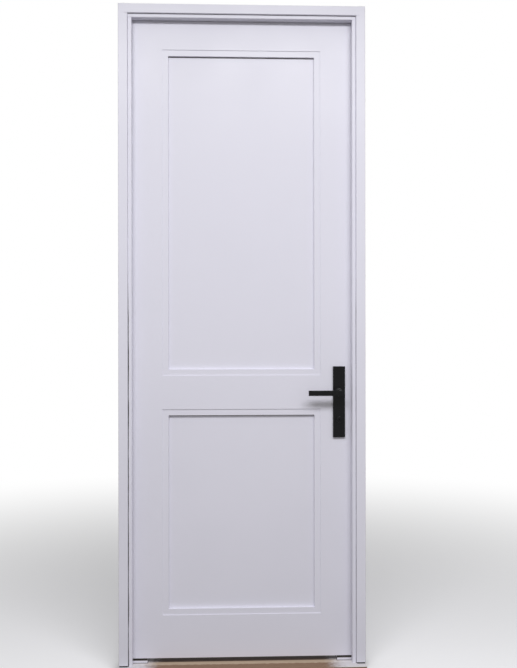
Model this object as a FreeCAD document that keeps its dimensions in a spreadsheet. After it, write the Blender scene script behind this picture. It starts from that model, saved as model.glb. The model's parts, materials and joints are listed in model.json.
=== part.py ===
import FreeCAD, Part

import os
import re

import Sketcher
from FreeCAD import Rotation, Vector

# White interior door with two recessed panels, hung in its own timber frame.
# Millimetres. +X runs from the hinge side to the lock side. +Y runs from the front, which has the
# stops and looks at the person who pushes the leaf open, to the back, where the hinge knuckles are.
# +Z is up. The origin is on the floor, at the middle of the frame's width and of the jambs' depth.

# Driving sizes
SIZES = {
    # leaf
    "leaf_width": 853,
    "leaf_height": 2438,
    "leaf_thickness": 44,
    "edge_bevel": 2,
    "hinge_stile_width": 121.5,
    "lock_stile_width": 127,
    "top_rail": 118,
    "mid_rail": 129,
    "bottom_rail": 163,
    "lower_opening": 785,
    "ledge_width": 23,
    "ledge_drop": 2.5,
    "panel_thickness": 18,
    "groove_depth": 12,
    "panel_fit": 0.2,
    # gaps round the leaf
    "side_gap": 5,
    "head_gap": 5,
    "floor_gap": 16,
    # frame
    "jamb_face": 35,
    "jamb_depth": 89,
    "jamb_arris": 1.5,
    "head_housing": 12,
    "stop_thickness": 14,
    "stop_set_back": 8.5,
    "stop_arris": 1,
    "leaf_set_back": 44.5,
    "leaf_stop_gap": 5,
    # threshold board and what stands on it
    "board_thickness": 18,
    "board_projection": 25,
    "board_arris": 2,
    "packer_thickness": 6,
    "packer_inset": 3,
    "block_length": 55,
    "block_depth": 30,
    "block_thickness": 9,
    "block_showing": 4,
    # hinges
    "hinge_height": 102,
    "hinge_plate": 2.5,
    "hinge_reach": 38,
    "knuckle_radius": 6.5,
    "knuckle_gap": 0.4,
    "knuckle_swing_gap": 1,
    "pin_stand_off": 8,
    "pin_radius": 3.5,
    "pin_fit": 0.08,
    "pin_cap_radius": 5,
    "pin_cap": 3,
    "top_hinge_drop": 203,
    "bottom_hinge_rise": 280,
    # lever set
    "handle_rise": 1011,
    "backset": 56,
    "plate_width": 46,
    "plate_height": 272,
    "plate_top": 100,
    "plate_thickness": 9,
    "plate_edge": 1.5,
    "collar_radius": 16,
    "collar_depth": 4,
    "collar_edge": 3.2,
    "collar_edge_depth": 1.3,
    "neck_radius": 12.5,
    "neck_edge": 2.2,
    "neck_edge_depth": 0.9,
    "blade_reach": 121,
    "blade_height": 20,
    "blade_thickness": 10,
    "blade_stand_off": 45,
    "blade_edge": 1.5,
    "lever_gap": 0.3,
    "spindle_side": 8,
    "spindle_hole": 8,
    "cylinder_drop": 104,
    "cylinder_radius": 12.5,
    "cylinder_stand_out": 6,
    "cylinder_shank": 8.5,
    "cylinder_fit": 0.3,
    "cylinder_edge": 1.5,
    "cylinder_edge_depth": 0.6,
    "key_slot_width": 2.5,
    "key_slot_height": 9,
    "key_slot_depth": 8,
    # lock faceplate, bolts and strike
    "forend_width": 22,
    "forend_height": 235,
    "forend_thickness": 3,
    "bolt_width": 12,
    "latch_height": 22,
    "dead_bolt_height": 34,
    "bolt_depth": 16,
    "latch_nose": 9,
    "bolt_fit": 0.3,
    "strike_width": 24,
    "strike_height": 190,
    "strike_thickness": 3,
    "strike_clearance": 2,
    "strike_lip_height": 60,
    "strike_pocket": 14,
}

HINGE_COUNT = 4
KNUCKLES = 3

# Numbers closer than this count as equal when edges are picked
SAME = 1e-6

# Places worked out from the driving sizes
OPENING_HALF = "(leaf_width / 2 + side_gap)"
FRAME_HALF = f"({OPENING_HALF} + jamb_face)"
FRAME_FRONT = "(-jamb_depth / 2)"
LEAF_FRONT = f"({FRAME_FRONT} + leaf_set_back)"
LEAF_BACK = f"({LEAF_FRONT} + leaf_thickness)"
LEAF_MIDDLE = f"({LEAF_FRONT} + leaf_thickness / 2)"
LEAF_BOTTOM = "(board_thickness + floor_gap)"
JAMB_FOOT = "(board_thickness + packer_thickness)"
HEAD_UNDERSIDE = f"({LEAF_BOTTOM} + leaf_height + head_gap)"
FRAME_TOP = f"({HEAD_UNDERSIDE} + jamb_face)"
STOP_FRONT = f"({FRAME_FRONT} + stop_set_back)"
STOP_DEPTH = "(leaf_set_back - stop_set_back - leaf_stop_gap)"

# The leaf's own levels, from its bottom and from its hinge edge
LOWER_TOP = "(bottom_rail + lower_opening)"
UPPER_BOTTOM = f"({LOWER_TOP} + mid_rail)"
UPPER_TOP = "(leaf_height - top_rail)"
NEAR_STILE = "hinge_stile_width"
FAR_STILE = "(leaf_width - lock_stile_width)"

PIN_X = "(-leaf_width / 2 - side_gap / 2)"
PIN_Y = f"({LEAF_BACK} + pin_stand_off)"
HANDLE_X = "(leaf_width / 2 - backset)"
HANDLE_Z = f"({LEAF_BOTTOM} + handle_rise)"
CYLINDER_Z = f"({HANDLE_Z} - cylinder_drop)"
LOCK_MIDDLE_Z = f"({HANDLE_Z} - cylinder_drop / 2)"
FOREND_FACE = "(leaf_width / 2 - edge_bevel)"

doc = FreeCAD.newDocument("InteriorDoor")
sheet = doc.addObject("Spreadsheet::Sheet", "Sizes")
for row, (alias, value) in enumerate(SIZES.items(), start=1):
    sheet.set(f"A{row}", alias.replace("_", " "))
    sheet.set(f"B{row}", str(value))
    sheet.setAlias(f"B{row}", alias)
doc.recompute()

parts = []


def linked(text):
    """Turn each size's name in an expression into its cell of the sheet."""
    return re.sub("[a-z_]+", lambda word: f"Sizes.{word.group()}", text)


def bind(piece, **expressions):
    """Tie properties of a piece to expressions in the named sizes."""
    for name, text in expressions.items():
        piece.setExpression(name, linked(text))


def place(piece, x="0", y="0", z="0"):
    """Put a piece's own origin at a point given in the named sizes."""
    for axis, text in zip("xyz", (x, y, z)):
        piece.setExpression(f"Placement.Base.{axis}", linked(text))
    return piece


def block(name, size, corner):
    """A box from its lowest corner."""
    piece = doc.addObject("Part::Box", name)
    bind(piece, Length=size[0], Width=size[1], Height=size[2])
    return place(piece, *corner)


def rod(name, radius, length, start, along=Vector(0, 0, 1)):
    """A round bar from its first end, along +Z or another axis."""
    piece = doc.addObject("Part::Cylinder", name)
    bind(piece, Radius=radius, Height=length)
    piece.Placement.Rotation = Rotation(Vector(0, 0, 1), along)
    return place(piece, *start)


def joined(name, *pieces):
    """Several shapes as one."""
    piece = doc.addObject("Part::MultiFuse", name)
    piece.Shapes = list(pieces)
    return piece


def cut(name, base, *tools):
    """A shape less one or more others."""
    piece = doc.addObject("Part::Cut", name)
    piece.Base = base
    piece.Tool = tools[0] if len(tools) == 1 else joined(f"{name}_tools", *tools)
    return piece


def eased(name, base, size, wanted, kind="Chamfer", second=None):
    """Take off the edges whose direction and middle the test `wanted` accepts, flat or as a Fillet.

    A chamfer is as wide on both faces, unless `second` names another size.
    """
    doc.recompute()
    edges = [
        number
        for number, edge in enumerate(base.Shape.Edges, start=1)
        if wanted(edge.tangentAt(edge.FirstParameter), edge.CenterOfMass)
    ]
    piece = doc.addObject(f"Part::{kind}", name)
    piece.Base = base
    piece.Edges = [(number, SIZES[size], SIZES[second or size]) for number in edges]
    return piece


def finished(piece, label):
    """Name a sub-part and keep it for export."""
    piece.Label = label
    parts.append(piece)
    return piece


def is_along(direction, axis):
    """Whether an edge runs along one of the axes."""
    return abs(abs(direction.dot(axis)) - 1) < SAME


X_AXIS = Vector(1, 0, 0)
Y_AXIS = Vector(0, 1, 0)
Z_AXIS = Vector(0, 0, 1)


# Threshold board, with its front edge eased, and what stands on it
board = block(
    "board_blank",
    ("2 * " + FRAME_HALF, "jamb_depth + board_projection", "board_thickness"),
    ("-" + FRAME_HALF, f"{FRAME_FRONT} - board_projection", "0"),
)
doc.recompute()
board_middle = board.Shape.CenterOfMass
finished(
    eased(
        "board",
        board,
        "board_arris",
        lambda run, middle: is_along(run, X_AXIS) and middle.y < board_middle.y and middle.z > board_middle.z,
    ),
    "threshold_board",
)

for side, packer_x in (
    ("hinge", f"-{FRAME_HALF} + packer_inset"),
    ("lock", f"{OPENING_HALF} + packer_inset"),
):
    finished(
        block(
            f"{side}_packer_block",
            ("jamb_face - 2 * packer_inset", "jamb_depth - 2 * packer_inset", "packer_thickness"),
            (packer_x, f"{FRAME_FRONT} + packer_inset", "board_thickness"),
        ),
        f"{side}_packer",
    )

for side, block_x in (
    ("hinge", f"-{OPENING_HALF} + stop_thickness"),
    ("lock", f"{OPENING_HALF} - stop_thickness - block_length"),
):
    finished(
        block(
            f"{side}_foot",
            ("block_length", "block_depth", "block_thickness"),
            (block_x, f"{LEAF_FRONT} - block_showing", "board_thickness"),
        ),
        f"{side}_foot_block",
    )


# Jambs: each leg is housed at the top for the head
def jamb_blank(name, size, corner, length_axis):
    """A planed bar with its four long edges eased."""
    return eased(
        name,
        block(f"{name}_bar", size, corner),
        "jamb_arris",
        lambda run, middle: is_along(run, length_axis),
    )


HINGE_LEVELS = [
    f"({LEAF_BOTTOM} + bottom_hinge_rise"
    f" + {number} * (leaf_height - top_hinge_drop - bottom_hinge_rise) / {HINGE_COUNT - 1})"
    for number in range(HINGE_COUNT)
]


def hinge_mortises(name, x, depth_back):
    """The shallow seats that the hinge plates are let into."""
    return [
        block(
            f"{name}_{number}",
            ("hinge_plate", f"{depth_back} - ({PIN_Y} - hinge_reach)", "hinge_height"),
            (x, f"{PIN_Y} - hinge_reach", f"{level} - hinge_height / 2"),
        )
        for number, level in enumerate(HINGE_LEVELS, start=1)
    ]


LEG_SIZE = ("jamb_face", "jamb_depth", f"{FRAME_TOP} - {JAMB_FOOT}")
HOUSING_SIZE = ("head_housing", "jamb_depth", "jamb_face")

hinge_leg = jamb_blank("hinge_leg", LEG_SIZE, ("-" + FRAME_HALF, FRAME_FRONT, JAMB_FOOT), Z_AXIS)
hinge_housing = block(
    "hinge_housing", HOUSING_SIZE, (f"-{OPENING_HALF} - head_housing", FRAME_FRONT, HEAD_UNDERSIDE)
)
finished(
    cut(
        "hinge_jamb_cut",
        hinge_leg,
        hinge_housing,
        *hinge_mortises("jamb_mortise", f"-{OPENING_HALF} - hinge_plate", "(jamb_depth / 2)"),
    ),
    "hinge_jamb",
)

lock_leg = jamb_blank("lock_leg", LEG_SIZE, (OPENING_HALF, FRAME_FRONT, JAMB_FOOT), Z_AXIS)
lock_housing = block("lock_housing", HOUSING_SIZE, (OPENING_HALF, FRAME_FRONT, HEAD_UNDERSIDE))


def strike_outline(name):
    """The strike's outer shape: a plate, with a lip to the jamb's back edge beside the latch."""
    plate = block(
        f"{name}_plate",
        ("strike_thickness", "strike_width", "strike_height"),
        (OPENING_HALF, f"{LEAF_MIDDLE} - strike_width / 2", f"{LOCK_MIDDLE_Z} - strike_height / 2"),
    )
    lip = block(
        f"{name}_lip",
        ("strike_thickness", f"jamb_depth / 2 - {LEAF_MIDDLE}", "strike_lip_height"),
        (OPENING_HALF, LEAF_MIDDLE, f"{HANDLE_Z} - strike_lip_height / 2"),
    )
    return joined(name, plate, lip)


def strike_hole(name, depth, level, height):
    """The space that a bolt enters: through the strike and into the jamb."""
    return block(
        name,
        (depth, "bolt_width + 2 * strike_clearance", f"{height} + 2 * strike_clearance"),
        (
            OPENING_HALF,
            f"{LEAF_MIDDLE} - bolt_width / 2 - strike_clearance",
            f"{level} - {height} / 2 - strike_clearance",
        ),
    )


POCKET_DEPTH = "strike_thickness + strike_pocket"
finished(
    cut(
        "lock_jamb_cut",
        lock_leg,
        lock_housing,
        strike_outline("strike_seat"),
        strike_hole("latch_pocket", POCKET_DEPTH, HANDLE_Z, "latch_height"),
        strike_hole("bolt_pocket", POCKET_DEPTH, CYLINDER_Z, "dead_bolt_height"),
    ),
    "lock_jamb",
)
finished(
    cut(
        "strike",
        strike_outline("strike_blank"),
        strike_hole("latch_hole", "strike_thickness", HANDLE_Z, "latch_height"),
        strike_hole("bolt_hole", "strike_thickness", CYLINDER_Z, "dead_bolt_height"),
    ),
    "strike_plate",
)

finished(
    jamb_blank(
        "head_bar",
        (f"2 * ({OPENING_HALF} + head_housing)", "jamb_depth", "jamb_face"),
        (f"-{OPENING_HALF} - head_housing", FRAME_FRONT, HEAD_UNDERSIDE),
        X_AXIS,
    ),
    "head_jamb",
)


# Planted stops
def stop(label, size, corner, length_axis):
    """A stop strip with its long edges eased."""
    finished(
        eased(
            f"{label}_strip",
            block(f"{label}_blank", size, corner),
            "stop_arris",
            lambda run, middle: is_along(run, length_axis),
        ),
        label,
    )


SIDE_STOP_SIZE = (
    "stop_thickness",
    STOP_DEPTH,
    f"{HEAD_UNDERSIDE} - stop_thickness - board_thickness",
)
stop("hinge_stop", SIDE_STOP_SIZE, ("-" + OPENING_HALF, STOP_FRONT, "board_thickness"), Z_AXIS)
stop("lock_stop", SIDE_STOP_SIZE, (f"{OPENING_HALF} - stop_thickness", STOP_FRONT, "board_thickness"), Z_AXIS)
stop(
    "head_stop",
    ("2 * " + OPENING_HALF, STOP_DEPTH, "stop_thickness"),
    ("-" + OPENING_HALF, STOP_FRONT, f"{HEAD_UNDERSIDE} - stop_thickness"),
    X_AXIS,
)


# Leaf: stiles and rails with a stepped ledge round each opening, mitred at the corners, and a groove
# in the ledge that holds the panel's edge
def add_outline(sketch, corners):
    """A closed outline whose corners are given in the named sizes."""
    first = sketch.GeometryCount
    count = len(corners)
    rough = [Vector(step, step * step, 0) for step in range(count)]
    for step in range(count):
        sketch.addGeometry(Part.LineSegment(rough[step], rough[(step + 1) % count]))
    for step in range(count):
        following = first + (step + 1) % count
        sketch.addConstraint(Sketcher.Constraint("Coincident", first + step, 2, following, 1))
    for step, corner in enumerate(corners):
        for kind, text in zip(("DistanceX", "DistanceY"), corner):
            index = sketch.addConstraint(Sketcher.Constraint(kind, -1, 1, first + step, 1, 1.0))
            sketch.setExpression(f"Constraints[{index}]", linked(text))


def add_sketch(body, name, plane, outlines):
    """A sketch with closed outlines on one of a body's own planes."""
    sketch = body.newObject("Sketcher::SketchObject", name)
    support = next(feature for feature in body.Origin.OriginFeatures if feature.Role == plane)
    sketch.AttachmentSupport = (support, "")
    sketch.MapMode = "FlatFace"
    for corners in outlines:
        add_outline(sketch, corners)
    return sketch


def add_feature(body, kind, name, sketch, length):
    """A Pad or Pocket that runs the same way on both sides of its sketch."""
    feature = body.newObject(f"PartDesign::{kind}", name)
    feature.Profile = sketch
    feature.SideType = "Symmetric"
    bind(feature, Length=length)
    return feature


def rectangle(left, bottom, right, top):
    return [(left, bottom), (right, bottom), (right, top), (left, top)]


PANEL_POCKETS = [
    rectangle(
        f"{NEAR_STILE} + ledge_width - groove_depth",
        f"{low} + ledge_width - groove_depth",
        f"{FAR_STILE} - ledge_width + groove_depth",
        f"{high} - ledge_width + groove_depth",
    )
    for low, high in (("bottom_rail", LOWER_TOP), (UPPER_BOTTOM, UPPER_TOP))
]


def leaf_piece(name, outline, ledges):
    """A stile or rail: full thickness inside its outline, thinner along its ledges."""
    body = doc.addObject("PartDesign::Body", name)
    place(body, "-leaf_width / 2", LEAF_MIDDLE, LEAF_BOTTOM)
    board_sketch = add_sketch(body, f"{name}_outline", "XZ_Plane", [outline])
    add_feature(body, "Pad", f"{name}_board", board_sketch, "leaf_thickness")
    ledge_sketch = add_sketch(body, f"{name}_ledge_outline", "XZ_Plane", ledges)
    add_feature(body, "Pad", f"{name}_ledge", ledge_sketch, "leaf_thickness - 2 * ledge_drop")
    groove_sketch = add_sketch(body, f"{name}_groove_outline", "XZ_Plane", PANEL_POCKETS)
    add_feature(body, "Pocket", f"{name}_groove", groove_sketch, "panel_thickness + 2 * panel_fit")
    return body


def side_ledge(edge, way, low, high):
    """A stile's ledge beside one opening, mitred at both ends."""
    inner = f"{edge} {way} ledge_width"
    return [
        (edge, low),
        (inner, f"{low} + ledge_width"),
        (inner, f"{high} - ledge_width"),
        (edge, high),
    ]


def level_ledge(level, way):
    """A rail's ledge above or below an opening, mitred at both ends."""
    inner = f"{level} {way} ledge_width"
    return [
        (NEAR_STILE, level),
        (FAR_STILE, level),
        (f"{FAR_STILE} - ledge_width", inner),
        (f"{NEAR_STILE} + ledge_width", inner),
    ]


hinge_stile = leaf_piece(
    "hinge_stile_body",
    rectangle("0", "0", NEAR_STILE, "leaf_height"),
    [
        side_ledge(NEAR_STILE, "+", "bottom_rail", LOWER_TOP),
        side_ledge(NEAR_STILE, "+", UPPER_BOTTOM, UPPER_TOP),
    ],
)
finished(
    cut("hinge_stile_cut", hinge_stile, *hinge_mortises("stile_mortise", "-leaf_width / 2", LEAF_BACK)),
    "hinge_stile",
)

lock_stile = leaf_piece(
    "lock_stile_body",
    rectangle(FAR_STILE, "0", "leaf_width", "leaf_height"),
    [
        side_ledge(FAR_STILE, "-", "bottom_rail", LOWER_TOP),
        side_ledge(FAR_STILE, "-", UPPER_BOTTOM, UPPER_TOP),
    ],
)
bevel_sketch = add_sketch(
    lock_stile,
    "bevel_outline",
    "XY_Plane",
    [
        [
            ("leaf_width - edge_bevel", "-leaf_thickness / 2"),
            ("leaf_width", "-leaf_thickness / 2"),
            ("leaf_width", "leaf_thickness / 2"),
        ]
    ],
)
add_feature(lock_stile, "Pocket", "edge_bevel_cut", bevel_sketch, "2 * leaf_height")


def forend_hole(name, depth, level, height, grow):
    """The space of a bolt behind the faceplate's outer face, grown by a clearance."""
    return block(
        name,
        (depth, f"bolt_width + 2 * {grow}", f"{height} + 2 * {grow}"),
        (
            f"{FOREND_FACE} - {depth}",
            f"{LEAF_MIDDLE} - bolt_width / 2 - {grow}",
            f"{level} - {height} / 2 - {grow}",
        ),
    )


BOLTS = (("latch_bolt", HANDLE_Z, "latch_height"), ("dead_bolt", CYLINDER_Z, "dead_bolt_height"))
FOREND_SIZE = ("forend_thickness", "forend_width", "forend_height")
FOREND_CORNER = (
    f"{FOREND_FACE} - forend_thickness",
    f"{LEAF_MIDDLE} - forend_width / 2",
    f"{LOCK_MIDDLE_Z} - forend_height / 2",
)
forend_seat = block(
    "forend_seat", ("forend_thickness + edge_bevel", "forend_width", "forend_height"), FOREND_CORNER
)
spindle_bore = rod(
    "spindle_bore", "spindle_hole", "leaf_thickness", (HANDLE_X, LEAF_FRONT, HANDLE_Z), Y_AXIS
)
cylinder_bore = rod(
    "cylinder_bore",
    "cylinder_shank + cylinder_fit",
    "leaf_thickness",
    (HANDLE_X, LEAF_FRONT, CYLINDER_Z),
    Y_AXIS,
)
finished(
    cut(
        "lock_stile_cut",
        lock_stile,
        forend_seat,
        spindle_bore,
        cylinder_bore,
        *[forend_hole(f"{name}_seat", "(bolt_depth + bolt_fit)", level, height, "bolt_fit")
          for name, level, height in BOLTS],
    ),
    "lock_stile",
)

forend = block("forend_blank", FOREND_SIZE, FOREND_CORNER)
finished(
    cut(
        "forend",
        forend,
        *[forend_hole(f"{name}_mouth", "forend_thickness", level, height, "bolt_fit")
          for name, level, height in BOLTS],
    ),
    "lock_faceplate",
)
finished(forend_hole("dead_bolt_bar", "bolt_depth", CYLINDER_Z, "dead_bolt_height", "0"), "dead_bolt")

# The latch is drawn in. Its nose slopes on the side that meets the strike as the leaf closes.
latch = doc.addObject("PartDesign::Body", "latch_body")
place(latch, FOREND_FACE, LEAF_MIDDLE, HANDLE_Z)
latch_sketch = add_sketch(
    latch,
    "latch_outline",
    "XY_Plane",
    [
        [
            ("-bolt_depth", "-bolt_width / 2"),
            ("-latch_nose", "-bolt_width / 2"),
            ("0", "bolt_width / 2"),
            ("-bolt_depth", "bolt_width / 2"),
        ]
    ],
)
add_feature(latch, "Pad", "latch_pad", latch_sketch, "latch_height")
finished(latch, "latch_bolt")

finished(
    leaf_piece(
        "top_rail_body",
        rectangle(NEAR_STILE, UPPER_TOP, FAR_STILE, "leaf_height"),
        [level_ledge(UPPER_TOP, "-")],
    ),
    "top_rail",
)
finished(
    leaf_piece(
        "mid_rail_body",
        rectangle(NEAR_STILE, LOWER_TOP, FAR_STILE, UPPER_BOTTOM),
        [level_ledge(LOWER_TOP, "-"), level_ledge(UPPER_BOTTOM, "+")],
    ),
    "mid_rail",
)
finished(
    leaf_piece(
        "bottom_rail_body",
        rectangle(NEAR_STILE, "0", FAR_STILE, "bottom_rail"),
        [level_ledge("bottom_rail", "+")],
    ),
    "bottom_rail",
)

PANEL_MARGIN = "(ledge_width - groove_depth + panel_fit)"
for label, low, high in (
    ("lower_panel", "bottom_rail", LOWER_TOP),
    ("upper_panel", UPPER_BOTTOM, UPPER_TOP),
):
    finished(
        block(
            f"{label}_board",
            (
                f"{FAR_STILE} - {NEAR_STILE} - 2 * {PANEL_MARGIN}",
                "panel_thickness",
                f"{high} - {low} - 2 * {PANEL_MARGIN}",
            ),
            (
                f"-leaf_width / 2 + {NEAR_STILE} + {PANEL_MARGIN}",
                f"{LEAF_MIDDLE} - panel_thickness / 2",
                f"{LEAF_BOTTOM} + {low} + {PANEL_MARGIN}",
            ),
        ),
        label,
    )


# Butt hinges: two plates with interleaved knuckles on a loose pin
KNUCKLE = f"(hinge_height / {KNUCKLES})"


def hinge_plate(label, plate_x, own, level):
    """A plate with every second knuckle, clear of the other plate's knuckles."""
    bottom = f"{level} - hinge_height / 2"
    flat = block(
        f"{label}_flat",
        ("hinge_plate", "hinge_reach", "hinge_height"),
        (plate_x, f"{PIN_Y} - hinge_reach", bottom),
    )
    barrel = rod(f"{label}_barrel", "knuckle_radius", "hinge_height", (PIN_X, PIN_Y, bottom))
    bore = rod(f"{label}_bore", "pin_radius", "hinge_height", (PIN_X, PIN_Y, bottom))
    clear = "(knuckle_radius + knuckle_swing_gap)"
    notches = [
        block(
            f"{label}_notch_{number}",
            (f"2 * {clear}", f"2 * {clear}", f"{KNUCKLE} + knuckle_gap"),
            (
                f"{PIN_X} - {clear}",
                f"{PIN_Y} - {clear}",
                f"{bottom} + {number} * {KNUCKLE} - knuckle_gap / 2",
            ),
        )
        for number in range(KNUCKLES)
        if number % 2 != own
    ]
    finished(cut(f"{label}_cut", joined(f"{label}_blank", flat, barrel), bore, *notches), label)


def hinge_pin(label, level):
    """A pin with a button at each end."""
    bottom = f"{level} - hinge_height / 2"
    shank = rod(f"{label}_shank", "pin_radius - pin_fit", "hinge_height", (PIN_X, PIN_Y, bottom))
    caps = [
        rod(f"{label}_foot", "pin_cap_radius", "pin_cap", (PIN_X, PIN_Y, f"{bottom} - pin_cap")),
        rod(f"{label}_head", "pin_cap_radius", "pin_cap", (PIN_X, PIN_Y, f"{bottom} + hinge_height")),
    ]
    finished(joined(f"{label}_joined", shank, *caps), label)


for number, level in enumerate(HINGE_LEVELS, start=1):
    hinge_plate(f"hinge_{number}_frame_plate", f"-{OPENING_HALF} - hinge_plate", 0, level)
    hinge_plate(f"hinge_{number}_leaf_plate", "-leaf_width / 2", 1, level)
    hinge_pin(f"hinge_{number}_pin", level)


# Lever set: a long plate and a lever on each face, one spindle and one cylinder through the leaf
PLATE_BOTTOM = f"({HANDLE_Z} + plate_top - plate_height)"


def facing(side, distance, depth="0"):
    """The lowest Y of something that starts `distance` off a face of the leaf and is `depth` deep."""
    if side == "front":
        return f"{LEAF_FRONT} - ({distance}) - ({depth})"
    return f"{LEAF_BACK} + ({distance})"


def rim_eased(name, turned_bar, edge, outward):
    """Slope off the outer rim of a turned bar: `edge` wide on its end and less deep on its side."""
    doc.recompute()
    centre = turned_bar.Shape.CenterOfMass
    return eased(
        name,
        turned_bar,
        f"{edge}_depth",
        lambda run, middle: (middle.y - centre.y) * outward > SAME,
        second=edge,
    )


for side in ("front", "back"):
    plate_blank = block(
        f"{side}_plate_blank",
        ("plate_width", "plate_thickness", "plate_height"),
        (f"{HANDLE_X} - plate_width / 2", facing(side, "0", "plate_thickness"), PLATE_BOTTOM),
    )
    doc.recompute()
    plate_middle = plate_blank.Shape.CenterOfMass
    outward = -1 if side == "front" else 1
    plate = eased(
        f"{side}_plate_eased",
        plate_blank,
        "plate_edge",
        lambda run, middle: (middle.y - plate_middle.y) * outward > SAME,
        kind="Fillet",
    )
    collar_hole = rod(
        f"{side}_collar_hole",
        "spindle_hole",
        "plate_thickness",
        (HANDLE_X, facing(side, "0", "plate_thickness"), HANDLE_Z),
        Y_AXIS,
    )
    cylinder_hole = rod(
        f"{side}_cylinder_hole",
        "cylinder_shank + cylinder_fit",
        "plate_thickness",
        (HANDLE_X, facing(side, "0", "plate_thickness"), CYLINDER_Z),
        Y_AXIS,
    )
    finished(cut(f"{side}_plate_cut", plate, collar_hole, cylinder_hole), f"{side}_plate")

    collar = rod(
        f"{side}_collar",
        "collar_radius",
        "collar_depth",
        (HANDLE_X, facing(side, "plate_thickness + lever_gap", "collar_depth"), HANDLE_Z),
        Y_AXIS,
    )
    neck = rod(
        f"{side}_neck",
        "neck_radius",
        "blade_stand_off - plate_thickness - lever_gap",
        (
            HANDLE_X,
            facing(side, "plate_thickness + lever_gap", "blade_stand_off - plate_thickness - lever_gap"),
            HANDLE_Z,
        ),
        Y_AXIS,
    )
    eased_collar = rim_eased(f"{side}_collar_eased", collar, "collar_edge", outward)
    eased_neck = rim_eased(f"{side}_neck_eased", neck, "neck_edge", outward)
    blade = block(
        f"{side}_blade_bar",
        ("blade_reach + neck_radius", "blade_thickness", "blade_height"),
        (
            f"{HANDLE_X} - blade_reach",
            facing(side, "blade_stand_off", "blade_thickness"),
            f"{HANDLE_Z} - blade_height / 2",
        ),
    )
    doc.recompute()
    root_end = blade.Shape.BoundBox.XMax
    rounded_blade = eased(
        f"{side}_blade",
        blade,
        "blade_edge",
        lambda run, middle: root_end - middle.x > SAME,
        kind="Fillet",
    )
    spindle_seat = block(
        f"{side}_spindle_seat",
        ("spindle_side + lever_gap", "blade_stand_off - plate_thickness", "spindle_side + lever_gap"),
        (
            f"{HANDLE_X} - spindle_side / 2 - lever_gap / 2",
            facing(side, "plate_thickness", "blade_stand_off - plate_thickness"),
            f"{HANDLE_Z} - spindle_side / 2 - lever_gap / 2",
        ),
    )
    lever_blank = joined(f"{side}_lever_blank", eased_collar, eased_neck, rounded_blade)
    finished(cut(f"{side}_lever_cut", lever_blank, spindle_seat), f"{side}_lever")

finished(
    block(
        "spindle_bar",
        ("spindle_side", "leaf_thickness + 2 * blade_stand_off", "spindle_side"),
        (
            f"{HANDLE_X} - spindle_side / 2",
            f"{LEAF_FRONT} - blade_stand_off",
            f"{HANDLE_Z} - spindle_side / 2",
        ),
    ),
    "spindle",
)

# Key cylinder: turned, with a collar on each plate and a key slot in each end
SHANK_END = "(leaf_thickness / 2 + plate_thickness)"
COLLAR_END = f"({SHANK_END} + cylinder_stand_out)"
cylinder_half = [
    ("cylinder_shank", SHANK_END),
    ("cylinder_radius", SHANK_END),
    ("cylinder_radius", f"{COLLAR_END} - cylinder_edge_depth"),
    ("cylinder_radius - cylinder_edge", COLLAR_END),
    ("0", COLLAR_END),
]
cylinder = doc.addObject("PartDesign::Body", "cylinder_body")
place(cylinder, HANDLE_X, LEAF_MIDDLE, CYLINDER_Z)
cylinder_sketch = add_sketch(
    cylinder,
    "cylinder_outline",
    "XY_Plane",
    [cylinder_half + [(radius, f"-({along})") for radius, along in reversed(cylinder_half)]],
)
turned = cylinder.newObject("PartDesign::Revolution", "cylinder_turned")
turned.Profile = cylinder_sketch
turned.ReferenceAxis = (cylinder_sketch, ["V_Axis"])
turned.Angle = 360
key_slots = [
    block(
        f"{side}_key_slot",
        ("key_slot_width", "key_slot_depth", "key_slot_height"),
        (
            f"{HANDLE_X} - key_slot_width / 2",
            facing(side, "plate_thickness + cylinder_stand_out - key_slot_depth", "key_slot_depth"),
            f"{CYLINDER_Z} - key_slot_height / 2",
        ),
    )
    for side in ("front", "back")
]
finished(cut("cylinder_cut", cylinder, *key_slots), "lock_cylinder")


# Check and write
doc.recompute()
for piece in doc.Objects:
    if "Invalid" in piece.State or "Error" in piece.State:
        raise RuntimeError(f"{piece.Label} did not build: {piece.State}")
for piece in parts:
    if piece.Shape.isNull() or not piece.Shape.isValid() or len(piece.Shape.Solids) != 1:
        raise RuntimeError(f"{piece.Label} is not one sound solid")

os.makedirs("parts", exist_ok=True)
for piece in parts:
    piece.Shape.exportStep(f"parts/{piece.Label}.step")
    box = piece.Shape.BoundBox
    print(f"{piece.Label:24s} {box.XLength:8.1f} {box.YLength:7.1f} {box.ZLength:8.1f}")
print(len(parts), "sub-parts")
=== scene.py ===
# %% [markdown]
# A white interior door in its own timber frame.
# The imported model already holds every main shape: the jambs, the stops, the leaf's stiles, rails and
# panels, the lever set, the lock and the hinges. This script adds what CAD leaves out: the paint, the
# timber and the metal finishes, the screws, the light and the camera. Nothing is moved, because the
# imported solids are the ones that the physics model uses.

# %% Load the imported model
import json
from math import pi, radians

import bpy
from mathutils import Matrix, Vector


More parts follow.
